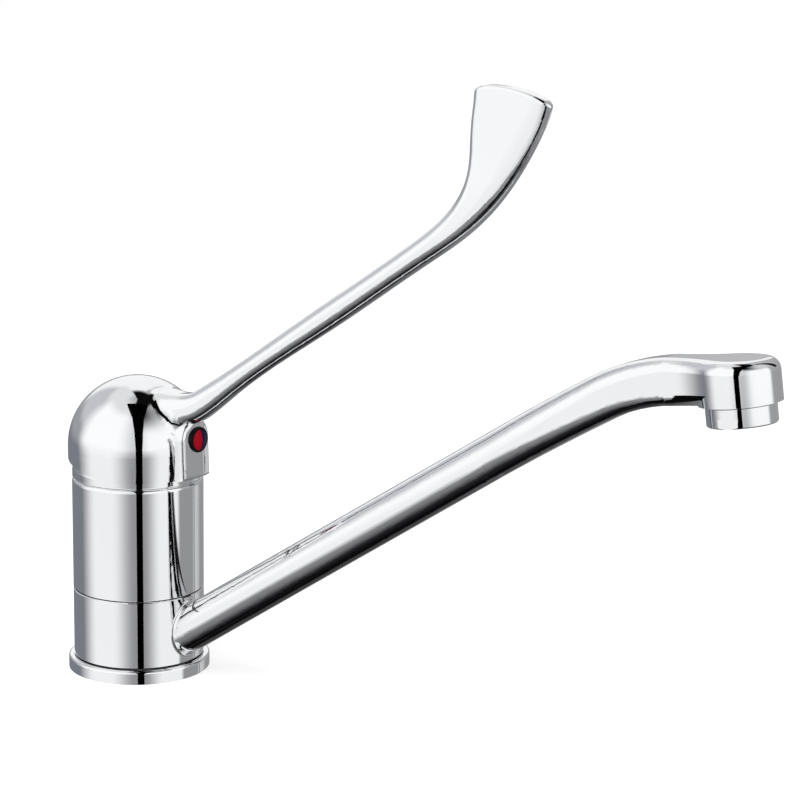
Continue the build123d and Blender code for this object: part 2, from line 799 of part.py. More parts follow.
def lever_grub_screw():
    start = spindle_square / 2 + seat_fit
    body = Cylinder(screw_radius, screw_length, align=low_face)
    hexagon = extrude(RegularPolygon(screw_hex / 2, 6, major_radius=False), amount=screw_hex_depth + overrun)
    body -= Pos(0, 0, screw_length - screw_hex_depth) * hexagon
    return Pos(0, -start, mark_height) * Rot(90, 0, 0) * body


def plug_place():
    return Plane(origin=(0, plug_depth - chin_face, mark_height), x_dir=(1, 0, 0), z_dir=(0, -1, 0))


def half_disc(sign, radius, height):
    disc = extrude(Circle(radius), amount=height)
    cut = Box(2 * radius, 4 * radius, 4 * height)
    return disc - Pos(-sign * (radius - half_mark_gap / 2), 0, 0) * cut


def indicator_plug():
    front = plug_depth + plug_rise
    body = Cylinder(plug_radius, front, align=low_face)
    body = fillet(body.faces().sort_by(Axis.Z)[-1].edges(), plug_edge)
    body += Pos(0, 0, -plug_stem_length) * Cylinder(screw_radius, plug_stem_length + overrun, align=low_face)
    seat = plug_radius - half_mark_inset + seat_fit
    for sign in (-1, 1):
        body -= Pos(0, 0, front - half_mark_depth) * half_disc(sign, seat, half_mark_depth + overrun)
    return plug_place() * body


def half_mark(sign):
    """Half of a lens: flat behind, a ball cap in front."""
    radius = plug_radius - half_mark_inset
    height = half_mark_depth + half_mark_crown
    ball = (radius**2 + half_mark_crown**2) / (2 * half_mark_crown)
    lens = half_disc(sign, radius, height) & Pos(0, 0, height - ball) * Sphere(ball)
    return plug_place() * Pos(0, 0, plug_depth + plug_rise - half_mark_depth) * lens


nodes = {
    "mixer_body": mixer_body(),
    "base_flange": base_flange(),
    "base_gasket": base_gasket(),
    "spout": spout(),
    "spout_slide_ring_lower": slide_ring(flange_height),
    "spout_slide_ring_upper": slide_ring(collar_top - slide_ring_height),
    "spout_o_ring_lower": o_ring(o_ring_low),
    "spout_o_ring_upper": o_ring(o_ring_high),
    "aerator_housing": aerator_housing(),
    "aerator_insert": aerator_insert(),
    "aerator_screen": aerator_screen(),
    "aerator_washer": aerator_washer(),
    "cartridge_base": cartridge_base(),
    "cartridge_port_seals": seals(cavity_floor),
    "cartridge_disc_seals": seals(disc_low - port_seal_height),
    "fixed_ceramic_disc": fixed_ceramic_disc(),
    "moving_ceramic_disc": moving_ceramic_disc(),
    "disc_carrier": disc_carrier(),
    "cartridge_housing": cartridge_housing(),
    "cartridge_turret": cartridge_turret(),
    "spindle": spindle(),
    "spindle_pin": spindle_pin(),
    "cartridge_nut": cartridge_nut(),
    "bonnet_ring": bonnet_ring(),
    "lever": lever(),
    "lever_grub_screw": lever_grub_screw(),
    "indicator_plug": indicator_plug(),
    "hot_mark": half_mark(-1),
    "cold_mark": half_mark(1),
}

os.makedirs("parts", exist_ok=True)
for name, shape in nodes.items():
    export_step(shape, f"parts/{name}.step")
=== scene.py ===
import json
import math

import bmesh
import bpy
from bpy.props import FloatProperty, FloatVectorProperty, IntProperty, PointerProperty
from bpy.types import Operator, Panel, PropertyGroup
from mathutils import Color, Matrix, Vector
from mathutils.geometry import tessellate_polygon


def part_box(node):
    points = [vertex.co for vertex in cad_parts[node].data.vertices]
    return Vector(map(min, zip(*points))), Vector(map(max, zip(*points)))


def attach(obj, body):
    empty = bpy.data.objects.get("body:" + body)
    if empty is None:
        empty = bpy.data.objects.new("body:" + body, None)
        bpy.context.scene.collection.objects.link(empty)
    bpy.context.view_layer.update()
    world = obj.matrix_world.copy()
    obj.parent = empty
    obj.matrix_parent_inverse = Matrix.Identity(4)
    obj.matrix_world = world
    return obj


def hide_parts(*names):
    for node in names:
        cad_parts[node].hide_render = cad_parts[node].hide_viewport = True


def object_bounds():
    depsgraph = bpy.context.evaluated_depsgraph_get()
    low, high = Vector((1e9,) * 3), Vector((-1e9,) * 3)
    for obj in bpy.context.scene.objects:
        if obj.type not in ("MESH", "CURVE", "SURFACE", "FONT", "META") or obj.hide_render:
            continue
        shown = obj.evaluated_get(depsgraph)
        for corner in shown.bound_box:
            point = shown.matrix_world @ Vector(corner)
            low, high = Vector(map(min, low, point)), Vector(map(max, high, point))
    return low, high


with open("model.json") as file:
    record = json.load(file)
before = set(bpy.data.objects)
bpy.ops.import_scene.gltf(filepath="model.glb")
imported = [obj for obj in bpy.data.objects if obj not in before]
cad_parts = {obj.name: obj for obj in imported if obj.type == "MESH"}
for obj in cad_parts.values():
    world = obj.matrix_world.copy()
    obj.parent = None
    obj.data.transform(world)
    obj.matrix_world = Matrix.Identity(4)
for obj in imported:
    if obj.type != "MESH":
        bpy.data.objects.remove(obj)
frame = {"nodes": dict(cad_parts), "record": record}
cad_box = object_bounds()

bl_info = {
    "name": "Elbow lever tap",
    "version": (1, 0, 0),
    "blender": (4, 5, 0),
    "location": "3D View > Sidebar > Tap",
    "description": "Chrome elbow lever tap with its cartridge, aerator and a pale studio",
    "category": "Object",
}

PLATED = ("mixer_body", "bonnet_ring", "base_flange", "spout", "aerator_housing", "lever")

# CAD nodes of each inner finish
INNER_PIECES = {
    "black_rubber": (
        "base_gasket",
        "spout_o_ring_lower",
        "spout_o_ring_upper",
        "aerator_washer",
        "cartridge_port_seals",
        "cartridge_disc_seals",
    ),
    "pale_plastic": (
        "spout_slide_ring_lower",
        "spout_slide_ring_upper",
        "cartridge_base",
        "cartridge_housing",
    ),
    "grey_plastic": ("disc_carrier", "cartridge_turret"),
    "lapped_ceramic": ("fixed_ceramic_disc", "moving_ceramic_disc"),
    "turned_brass": ("cartridge_nut",),
    "turned_steel": ("spindle", "spindle_pin", "lever_grub_screw", "aerator_screen"),
}

# Halves and plug of the indicator: CAD node, colour's property, and share of the colour left by the painted
# shade where it is seen slanted
MARKS = {
    "hot_red": ("hot_mark", "hot", 0.2),
    "cold_blue": ("cold_mark", "cold", 0.3),
    "black_plug": ("indicator_plug", "plug", 0.4),
}

LENGTH = {"unit": "LENGTH", "precision": 5}


class ChromeFinish(PropertyGroup):
    colour: FloatVectorProperty(
        name="Plating colour",
        description="Colour of the chrome plating",
        default=(0.895, 0.90, 0.91),
        subtype="COLOR",
    )
    cast: FloatProperty(
        name="Cast", description="Share of the colour left in its faint darker patches", default=0.985, min=0
    )
    roughness: FloatProperty(
        name="Roughness", description="Roughness of the clean plating", default=0.03, min=0
    )
    haze: FloatProperty(name="Haze", description="Extra roughness in faint wiping marks", default=0.02, min=0)
    wave_size: FloatProperty(
        name="Wave size", description="Width of the soft waves that polishing leaves", default=0.011, **LENGTH
    )
    wave_depth: FloatProperty(
        name="Wave depth", description="Depth of these waves", default=0.000003, **LENGTH
    )


class InnerFinish(PropertyGroup):
    rubber: FloatVectorProperty(
        name="Rubber", description="Rings and gasket", default=(0.018, 0.018, 0.02), subtype="COLOR"
    )
    pale_plastic: FloatVectorProperty(
        name="Pale plastic",
        description="Cartridge casing and slide rings",
        default=(0.72, 0.72, 0.69),
        subtype="COLOR",
    )
    grey_plastic: FloatVectorProperty(
        name="Grey plastic", description="Turret and carrier", default=(0.16, 0.17, 0.18), subtype="COLOR"
    )
    regulator: FloatVectorProperty(
        name="Regulator", description="Jet regulator", default=(0.42, 0.43, 0.44), subtype="COLOR"
    )
    ceramic: FloatVectorProperty(
        name="Ceramic", description="Cartridge discs", default=(0.82, 0.80, 0.75), subtype="COLOR"
    )
    brass: FloatVectorProperty(
        name="Brass", description="Clamp nut and cut threads", default=(0.76, 0.55, 0.25), subtype="COLOR"
    )
    steel: FloatVectorProperty(
        name="Steel",
        description="Spindle, pin, screw and screen",
        default=(0.60, 0.60, 0.60),
        subtype="COLOR",
    )


class MarkFinish(PropertyGroup):
    hot: FloatVectorProperty(
        name="Hot", description="Hot half of the indicator", default=(0.43, 0.003, 0.012), subtype="COLOR"
    )
    cold: FloatVectorProperty(
        name="Cold", description="Cold half of the indicator", default=(0.010, 0.010, 0.07), subtype="COLOR"
    )
    plug: FloatVectorProperty(
        name="Plug", description="Plug round both halves", default=(0.006, 0.006, 0.007), subtype="COLOR"
    )
    shine: FloatProperty(
        name="Shine", description="Strength of the lacquer's reflection", default=0.05, min=0
    )


class RegulatorSizes(PropertyGroup):
    tilt: FloatProperty(
        name="Tilt", description="Lean of the outlet's axis", default=math.radians(8.5), subtype="ANGLE"
    )
    cell: FloatProperty(name="Cell", description="Width of a cell across its flats", default=0.0017, **LENGTH)
    rib: FloatProperty(name="Rib", description="Thickness of the ribs", default=0.0004, **LENGTH)
    depth: FloatProperty(name="Depth", description="Depth of the cells", default=0.003, **LENGTH)
    fine_cell: FloatProperty(
        name="Fine cell", description="Width of a cell in the upper plate", default=0.0009, **LENGTH
    )
    fine_rib: FloatProperty(name="Fine rib", description="Ribs of the upper plate", default=0.0009, **LENGTH)
    plate: FloatProperty(name="Plate", description="Thickness of the upper plate", default=0.0012, **LENGTH)
    wall: FloatProperty(name="Wall", description="Thickness of the sleeve", default=0.0009, **LENGTH)
    bevel: FloatProperty(name="Bevel", description="Bevel of the sleeve's ends", default=0.0002, **LENGTH)
    steps: IntProperty(name="Steps", description="Steps round the sleeve", default=96, min=24)


class ThreadSizes(PropertyGroup):
    stud_pitch: FloatProperty(
        name="Stud pitch", description="Pitch in the stud's hole", default=0.00125, **LENGTH
    )
    hose_pitch: FloatProperty(
        name="Hose pitch", description="Pitch in the hoses' holes", default=0.001, **LENGTH
    )
    height: FloatProperty(name="Height", description="Height of the ridge", default=0.00045, **LENGTH)
    root: FloatProperty(
        name="Root", description="Depth of the ridge's root in the wall", default=0.0001, **LENGTH
    )
    steps: IntProperty(name="Steps", description="Steps in one turn", default=40, min=8)


class StudioSizes(PropertyGroup):
    camera_place: FloatVectorProperty(
        name="Camera",
        description="Camera's place",
        default=(-0.63237, -0.52966, 0.27211),
        subtype="TRANSLATION",
    )
    heading: FloatProperty(
        name="Heading", description="Turn of the camera about Z", default=math.radians(-57.0), subtype="ANGLE"
    )
    dip: FloatProperty(
        name="Dip",
        description="Tilt of the camera below the horizon",
        default=math.radians(11.48),
        subtype="ANGLE",
    )
    roll: FloatProperty(
        name="Roll", description="Roll of the camera", default=math.radians(0.88), subtype="ANGLE"
    )
    lens: FloatProperty(name="Lens", description="Focal length in millimetres", default=99.0, min=1)
    film: FloatProperty(name="Film", description="Width of the frame in millimetres", default=36.0, min=1)
    nearest: FloatProperty(
        name="Nearest", description="Nearest distance that the camera shows", default=0.02, **LENGTH
    )
    floor: FloatProperty(name="Floor", description="Half the width of the floor", default=3.0, **LENGTH)
    floor_tone: FloatProperty(
        name="Floor tone", description="Share of the light that the floor throws back", default=0.86, min=0
    )
    floor_glow: FloatProperty(
        name="Floor glow", description="What the floor adds to that for the camera", default=0.45, min=0
    )
    fill: FloatProperty(
        name="Fill", description="Strength of the even light from all sides", default=0.72, min=0
    )
    key_power: FloatProperty(
        name="Key light", description="Power of the soft lamp", default=9.0, unit="POWER"
    )
    key_place: FloatVectorProperty(
        name="Key place",
        description="Place of the soft lamp",
        default=(-0.9, 0.1, 1.3),
        subtype="TRANSLATION",
    )
    key_aim: FloatVectorProperty(
        name="Key aim",
        description="Point that the soft lamp faces",
        default=(0, -0.1, 0.05),
        subtype="TRANSLATION",
    )
    key_width: FloatProperty(name="Key width", description="Width of the soft lamp", default=1.4, **LENGTH)
    key_height: FloatProperty(name="Key height", description="Height of the soft lamp", default=1.0, **LENGTH)
    white: FloatProperty(
        name="White card", description="Strength of the tent that the chrome shows", default=1.12, min=0
    )
    slit_distance: FloatProperty(
        name="Slit distance", description="Tap's axis to the dark slit", default=0.587, **LENGTH
    )
    slit_offset: FloatProperty(
        name="Slit offset", description="Slit to the right of the axis", default=0.094, **LENGTH
    )


class Nodes:
    """Adds the nodes of one tree and joins them."""

    def __init__(self, tree):
        self.tree = tree

    def add(self, kind, **values):
        node = self.tree.nodes.new(kind)
        for key, value in values.items():
            setattr(node, key, value)
        return node

    def fill(self, socket, value):
        """Links a socket to another node's output, or sets it."""
        if isinstance(value, bpy.types.NodeSocket):
            self.tree.links.new(value, socket)
        else:
            socket.default_value = value

    def math(self, operation, *values):
        node = self.add("ShaderNodeMath", operation=operation)
        for socket, value in zip(node.inputs, values):
            self.fill(socket, value)
        return node.outputs[0]

    def remap(self, value, start, end, low, high, interpolation="LINEAR"):
        """Takes a value from start..end to low..high, and no further."""
        node = self.add("ShaderNodeMapRange", interpolation_type=interpolation)
        self.fill(node.inputs["Value"], value)
        for key, limit in (("From Min", start), ("From Max", end), ("To Min", low), ("To Max", high)):
            node.inputs[key].default_value = limit
        return node.outputs["Result"]

    def blend(self, share, first, second):
        """Colour between two colours."""
        node = self.add("ShaderNodeMix", data_type="RGBA")
        self.fill(node.inputs["Factor"], share)
        self.fill(node.inputs[6], first)
        self.fill(node.inputs[7], second)
        return node.outputs[2]

    def choose(self, share, first, second):
        """Shader between two shaders."""
        node = self.add("ShaderNodeMixShader")
        for socket, value in zip(node.inputs, (share, first, second)):
            self.fill(socket, value)
        return node.outputs[0]


# The part of a noise's range that its marks use
NOISE_RANGE = (0.35, 0.65)


class Finish(Nodes):
    """Node material of one finish."""

    def __init__(self, name):
        self.material = bpy.data.materials.new(name)
        self.material.use_nodes = True
        super().__init__(self.material.node_tree)
        self.shader = self.tree.nodes["Principled BSDF"]
        self.place = self.add("ShaderNodeTexCoord").outputs["Object"]

    def noise(self, scale, detail=2.0):
        node = self.add("ShaderNodeTexNoise")
        node.inputs["Scale"].default_value = scale
        node.inputs["Detail"].default_value = detail
        self.fill(node.inputs["Vector"], self.place)
        return node.outputs["Fac"]

    def marks(self, noise, low=0.0, high=1.0):
        """Noise spread out from low to high."""
        return self.remap(noise, *NOISE_RANGE, low, high)

    def tint(self, share, first, second):
        self.set("Base Color", self.blend(share, (*first, 1), (*second, 1)))

    def relief(self, height, depth):
        node = self.add("ShaderNodeBump")
        node.inputs["Strength"].default_value = 1.0
        node.inputs["Distance"].default_value = depth
        self.fill(node.inputs["Height"], height)
        self.set("Normal", node.outputs["Normal"])

    def set(self, name, value):
        self.fill(self.shader.inputs[name], value)


def shaded(colour, share):
    return tuple(min(1.0, channel * share) for channel in colour)


# Chrome: cells of its marks to a metre
WIPING_CELLS = 240.0
PATCH_CELLS = 55.0


def chrome_material(plating):
    """Bright plating with faint wiping marks, patches and polishing waves."""
    finish = Finish("polished_chrome")
    finish.set("Metallic", 1.0)
    wiping = finish.noise(WIPING_CELLS, detail=4.0)
    finish.set("Roughness", finish.marks(wiping, plating.roughness, plating.roughness + plating.haze))
    patches = finish.marks(finish.noise(PATCH_CELLS, detail=1.0))
    finish.tint(patches, plating.colour, shaded(plating.colour, plating.cast))
    finish.relief(finish.noise(1 / plating.wave_size, detail=1.0), plating.wave_depth)
    return finish.material


# Moulded pieces: cells to a metre, shares of the colour, change of the roughness and depth of the grain
FLOW_CELLS = 160.0
SHEEN_CELLS = 900.0
MOULD_SHADES = (0.92, 1.06)
MOULD_SHEEN = (-0.06, 0.08)
MOULD_RELIEF = 0.00003


def moulded_material(name, colour, roughness, grain):
    """Moulded plastic, rubber or lapped ceramic, with faint flow marks and a fine grain."""
    finish = Finish(name)
    flow = finish.marks(finish.noise(FLOW_CELLS, detail=3.0))
    finish.tint(flow, *(shaded(colour, share) for share in MOULD_SHADES))
    sheen = finish.noise(SHEEN_CELLS)
    finish.set("Roughness", finish.marks(sheen, *(roughness + change for change in MOULD_SHEEN)))
    finish.relief(finish.noise(grain, detail=3.0), MOULD_RELIEF)
    return finish.material


# Turned pieces: rings, blotches, shares of the colour, change of the roughness and depth of the rings
RING_SCALE = 900.0
RING_DISTORTION = 1.5
RING_DETAIL = 2.0
BLOTCH_CELLS = 120.0
METAL_SHADES = (0.88, 1.05)
METAL_SHEEN = (-0.05, 0.08)
METAL_RELIEF = 0.000008


def turned_material(name, colour, roughness):
    """Metal with fine turning rings round the swivel axis."""
    finish = Finish(name)
    finish.set("Metallic", 1.0)
    node = finish.add("ShaderNodeTexWave", wave_type="RINGS", rings_direction="Z")
    for key, value in (("Scale", RING_SCALE), ("Distortion", RING_DISTORTION), ("Detail", RING_DETAIL)):
        node.inputs[key].default_value = value
    finish.fill(node.inputs["Vector"], finish.place)
    rings = node.outputs["Fac"]
    blotches = finish.marks(finish.noise(BLOTCH_CELLS, detail=4.0))
    finish.tint(blotches, *(shaded(colour, share) for share in METAL_SHADES))
    finish.set("Roughness", finish.remap(rings, 0, 1, *(roughness + change for change in METAL_SHEEN)))
    finish.relief(rings, METAL_RELIEF)
    return finish.material


# Lacquer of the marks: how its painted shade by the view's angle counts, then the cells, roughness and relief
# of its surface
PAINTED_SHADE_BLEND = 0.42
PAINTED_SHADE_RANGE = (0.30, 0.68)
LACQUER_CELLS = 1500.0
LACQUER_ROUGHNESS = (0.16, 0.24)
LACQUER_WAVES = 420.0
LACQUER_RELIEF = 0.00001


def mark_material(name, colour, dark, shine):
    """Lacquer over colour, with shade painted into the colour, which darkens where it is seen slanted."""
    finish = Finish(name)
    # Painted shade: Layer Weight darkens the base colour by the view's angle, not by the light.
    shade_facing = finish.add("ShaderNodeLayerWeight")
    shade_facing.inputs["Blend"].default_value = PAINTED_SHADE_BLEND
    painted_slant_shade = finish.remap(shade_facing.outputs["Facing"], *PAINTED_SHADE_RANGE, 0, 1)
    finish.tint(painted_slant_shade, colour, shaded(colour, dark))
    finish.set("Roughness", finish.marks(finish.noise(LACQUER_CELLS), *LACQUER_ROUGHNESS))
    finish.relief(finish.noise(LACQUER_WAVES), LACQUER_RELIEF)
    finish.set("Specular IOR Level", shine)
    return finish.material


# Inner finishes: how each is made, its colour's property, its roughness and a moulded one's grains to a metre
INNER_FINISHES = {
    "black_rubber": (moulded_material, "rubber", 0.55, 1400.0),
    "pale_plastic": (moulded_material, "pale_plastic", 0.42, 700.0),
    "grey_plastic": (moulded_material, "grey_plastic", 0.45, 700.0),
    "regulator_plastic": (moulded_material, "regulator", 0.4, 900.0),
    "lapped_ceramic": (moulded_material, "ceramic", 0.22, 2200.0),
    "turned_brass": (turned_material, "brass", 0.28),
    "cut_brass": (turned_material, "brass", 0.3),
    "turned_steel": (turned_material, "steel", 0.3),
}


def inner_material(name):
    make, colour, *values = INNER_FINISHES[name]
    return make(name, getattr(bpy.context.scene.tap_inner, colour), *values)


def coat(names, material):
    """Gives CAD nodes one finish."""
    for name in names:
        materials = frame["nodes"][name].data.materials
        materials.clear()
        materials.append(material)


def new_object(name, data):
    made = bpy.data.objects.new(name, data)
    bpy.context.scene.collection.objects.link(made)
    return made


def add_piece(name, work, material, body):
    """Makes a piece of a filled bmesh, and lets it ride on a body."""
    mesh = bpy.data.meshes.new(name)
    bmesh.ops.recalc_face_normals(work, faces=work.faces)
    work.to_mesh(mesh)
    work.free()
    mesh.materials.append(material)
    piece = new_object(name, mesh)
    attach(piece, body)
    return piece


def band(work, first, second):
    """Joins two closed loops of as many vertices by quads."""
    for k in range(len(first)):
        after = (k + 1) % len(first)
        work.faces.new((first[k], first[after], second[after], second[k]))


class TAP_OT_plate_castings(Operator):
    """Give body, bonnet ring, foot ring, spout, aerator sleeve and lever their polished chrome"""

    bl_idname = "tap.plate_castings"
    bl_label = "Plate the castings"

    def execute(self, context):
        coat(PLATED, chrome_material(context.scene.tap_chrome))
        return {"FINISHED"}


class TAP_OT_finish_cartridge(Operator):
    """Give the cartridge, its nut, the spindle and the rings their finishes"""

    bl_idname = "tap.finish_cartridge"
    bl_label = "Finish the inner pieces"

    def execute(self, context):
        for name, pieces in INNER_PIECES.items():
            coat(pieces, inner_material(name))
        return {"FINISHED"}


class TAP_OT_finish_indicator(Operator):
    """Colour the indicator in the chin"""

    bl_idname = "tap.finish_indicator"
    bl_label = "Colour the indicator"

    def execute(self, context):
        settings = context.scene.tap_mark
        # Each mark's colour gets painted shade where it is seen slanted.
        for name, (piece, colour, dark) in MARKS.items():
            coat((piece,), mark_material(name, getattr(settings, colour), dark, settings.shine))
        return {"FINISHED"}


# Steps from a honeycomb's cell to the six round it, in turn. A cell is a pair: steps across, and rows up,
# where each row up also goes half a step across.
AROUND = ((1, 0), (0, 1), (-1, 1), (-1, 0), (0, -1), (1, -1))
SIDES = range(len(AROUND))


def beside(cell, side):
    across, up = AROUND[side % len(AROUND)]
    return cell[0] + across, cell[1] + up


def corner(cell, side):
    """Corner at the end of a cell's side, named by the three cells that meet there."""
    return frozenset((cell, beside(cell, side), beside(cell, side + 1)))


def cell_middle(cell, pitch):
    return Vector((pitch * (cell[0] + cell[1] / 2), pitch * cell[1] * math.sqrt(3) / 2))


def corner_place(cells, pitch):
    return sum((cell_middle(cell, pitch) for cell in cells), Vector((0, 0))) / len(cells)


def whole_cells(radius, pitch):
    """Cells that lie whole inside a radius."""
    reach = 2 * math.ceil(radius / pitch)
    steps = range(-reach, reach + 1)
    room = radius - pitch / math.sqrt(3)
    cells = [(across, up) for up in steps for across in steps]
    return [cell for cell in cells if cell_middle(cell, pitch).length <= room]


def comb_outline(cells):
    """Corners round all the cells, in turn."""
    sides = [(cell, side) for cell in cells for side in SIDES if beside(cell, side) not in cells]
    following = {corner(cell, side - 1): corner(cell, side) for cell, side in sides}
    outline = [next(iter(following))]
    while following[outline[-1]] != outline[0]:
        outline.append(following[outline[-1]])
    return outline


def comb_plate(work, radius, width, rib, rims):
    """Honeycomb plate between a lower and an upper rim, open where a whole cell lies inside a radius."""
    pitch = width + rib
    cells = whole_cells(radius, pitch)
    outline = comb_outline(cells)
    bores = []
    for rim in rims:
        height = rim[0].co.z
        ends = {}
        for spot in dict.fromkeys(corner(cell, side) for cell in cells for side in SIDES):
            ends[spot] = work.verts.new((*corner_place(spot, pitch), height))
        mouths = []
        for cell in cells:
            middle = cell_middle(cell, pitch)
            outer = [ends[corner(cell, side)] for side in SIDES]
            inner = [work.verts.new((*middle.lerp(end.co.xy, width / pitch), height)) for end in outer]
            band(work, outer, inner)
            mouths.append(inner)
        bores.append(mouths)
        edge = [ends[spot] for spot in outline]
        vertices = rim + edge
        for triangle in tessellate_polygon([[vertex.co for vertex in loop] for loop in (rim, edge)]):
            work.faces.new([vertices[k] for k in triangle])
    for low, high in zip(*bores):
        band(work, low, high)


def regulator_mesh(radius, height, sizes):
    """Sleeve that stands on its outlet, with a honeycomb below and a plate of finer cells above."""
    work = bmesh.new()
    turns = [2 * math.pi * k / sizes.steps for k in range(sizes.steps)]

    def rim(reach, level):
        return [work.verts.new((reach * math.cos(turn), reach * math.sin(turn), level)) for turn in turns]

    lip = radius - sizes.bevel
    bore = radius - sizes.wall
    foot, crown = rim(lip, 0), rim(lip, height)
    low, high = rim(radius, sizes.bevel), rim(radius, height - sizes.bevel)
    bore_low, bore_high = rim(bore, sizes.depth), rim(bore, height - sizes.plate)
    for first, second in ((foot, low), (low, high), (high, crown), (bore_low, bore_high)):
        band(work, first, second)
    comb_plate(work, bore, sizes.cell, sizes.rib, (foot, bore_low))
    comb_plate(work, bore, sizes.fine_cell, sizes.fine_rib, (bore_high, crown))
    return work


class TAP_OT_build_regulator(Operator):
    """Build the honeycomb jet regulator in the aerator's sleeve"""

    bl_idname = "tap.build_regulator"
    bl_label = "Build the jet regulator"

    def execute(self, context):
        sizes = context.scene.tap_regulator
        low, high = (Vector(end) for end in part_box("aerator_insert"))
        radius = high.x
        height = (high.z - low.z - 2 * radius * math.sin(sizes.tilt)) / math.cos(sizes.tilt)
        if height < sizes.depth + sizes.plate:
            raise RuntimeError("the jet regulator is too low for its cells")
        work = regulator_mesh(radius, height, sizes)
        drop = Matrix.Translation((0, 0, -height / 2))
        seat = Matrix.Translation((low + high) / 2) @ Matrix.Rotation(-sizes.tilt, 4, "X") @ drop
        bmesh.ops.transform(work, matrix=seat, verts=work.verts)
        material = inner_material("regulator_plastic")
        piece = add_piece("jet_regulator", work, material, "swivel_spout")
        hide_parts("aerator_insert")
        return {"FINISHED"}


# Half the width of a thread's ridge at its root and at its crest, in pitches
RIDGE_ROOT = 0.42
RIDGE_CREST = 0.08


def screw_ridge(centre, radius, depth, pitch, sizes):
    """Closed helical ridge inside a hole that opens downwards, rooted in the hole's wall."""
    work = bmesh.new()
    count = int((depth - pitch) / pitch * sizes.steps)
    root = radius + sizes.root
    rows = []
    for step in range(count + 1):
        turn = 2 * math.pi * step / sizes.steps
        side = Vector((math.cos(turn), math.sin(turn), 0))
        middle = pitch * (0.5 + step / sizes.steps)
        fade = min(1.0, step / sizes.steps, (count - step) / sizes.steps)
        crest = radius - sizes.height * fade
        profile = ((root, -RIDGE_ROOT), (crest, -RIDGE_CREST), (crest, RIDGE_CREST), (root, RIDGE_ROOT))
        ends = [centre + side * reach + Vector((0, 0, middle + rise * pitch)) for reach, rise in profile]
        rows.append([work.verts.new(end) for end in ends])
    for first, second in zip(rows, rows[1:]):
        band(work, first, second)
    work.faces.new(rows[0])
    work.faces.new(rows[-1])
    return work


class TAP_OT_cut_threads(Operator):
    """Add the threads in the underside's three holes"""

    bl_idname = "tap.cut_threads"
    bl_label = "Cut the threads"

    def execute(self, context):
        sizes = context.scene.tap_thread
        material = inner_material("cut_brass")
        for mount in frame["record"]["mounts"]:
            if mount["kind"] == "threaded_hole":
                pitch = sizes.stud_pitch if mount["name"] == "fixing_stud" else sizes.hose_pitch
                radius = mount["dims"]["r_mm"] / 1000
                depth = mount["dims"]["length_mm"] / 1000
                work = screw_ridge(Vector(mount["pos_m"]), radius, depth, pitch, sizes)
                add_piece(mount["name"] + "_thread", work, material, "base")
        return {"FINISHED"}


WHITE = (1, 1, 1, 1)

# Tones of the pale tent round the tap, by height above the horizon in degrees
TENT_TONES = (
    (-90, 0.08),
    (-80, 0.10),
    (-70, 0.16),
    (-60, 0.34),
    (-50, 0.46),
    (-38, 0.52),
    (-25, 0.54),
    (-14, 0.57),
    (5, 0.62),
    (35, 0.68),
    (60, 0.72),
    (90, 0.66),
)

# How much these tones lean to blue
TENT_LEAN = 0.008

# Cards hung in the tent, later ones in front of earlier ones. Each has its tone, its first and last turn and
# its lowest and highest height, all in degrees and with the width of the soft edge there. The turns run from
# the camera's side round to its right.
TENT_CARDS = {
    "left_low": ((0.46, 0.475, 0.505), (-185, 8), (-104, 14), (-24, 6), (-2, 16)),
    "left_middle": ((0.59, 0.60, 0.62), (-170, 10), (-106, 12), (-2, 14), (12, 12)),
    "left_wall": ((0.75, 0.755, 0.775), (-160, 16), (-96, 20), (14, 12), (50, 16)),
    "far_wall": (0.95, (163, 8), (212, 14), (8, 10), (68, 5)),
    "ceiling": (0.87, (-156, 10), (-16, 14), (50, 12), (120, 1)),
    "ceiling_end": (0.70, (-156, 10), (-16, 14), (81, 14), (120, 1)),
    "left_box_low": (0.935, (-90, 36), (-20, 42), (-27, 4), (8, 24)),
    "left_box": (0.985, (-100, 30), (-4, 56), (-4, 16), (58, 16)),
    "right_box_low": (0.93, (31, 32), (82, 8), (-24, 5), (0, 10)),
    "right_box": (0.98, (12, 36), (88, 14), (-4, 12), (42, 44)),
    "right_high": (0.80, (60, 10), (112, 8), (38, 12), (62, 8)),
    "right_low": (0.75, (119, 3), (140, 16), (-24, 4), (-8, 6)),
    "front_shade": (0.04, (2, 8), (47, 60), (44, 36), (120, 1)),
    "overhead": (0.04, (-8, 24), (202, 6), (71, 6), (120, 1)),
    "side_strip": (0.06, (113, 3), (129, 4), (14, 8), (66, 4)),
    "side_line": (0.30, (121.6, 0.8), (123.4, 0.8), (-24, 1), (-5, 2)),
    "low_box": (0.94, (-71, 3), (-44, 14), (-31, 18), (-19, 5)),
    "low_shade": (0.04, (-118, 10), (-70, 3), (-88, 6), (-20, 3)),
    "front_floor": (0.15, (-16, 14), (20, 14), (-88, 8), (-41, 10)),
    "right_floor": ((0.49, 0.495, 0.51), (78, 10), (150, 20), (-82, 6), (-50, 10)),
    "far_floor": (0.24, (158, 10), (186, 6), (-66, 10), (-40, 16)),
    "far_floor_end": (0.04, (120, 10), (200, 6), (-95, 8), (-68, 12)),
}


def scene_colour(shown):
    """Scene colour of one that shows with these shares of white."""
    return (*Color(shown).from_srgb_to_scene_linear(), 1)


def camera_sides(studio):
    """Level directions from the tap towards the camera, and to the camera's right."""
    back = Vector((math.sin(studio.heading), -math.cos(studio.heading), 0))
    return back, Vector((-back.y, back.x, 0))


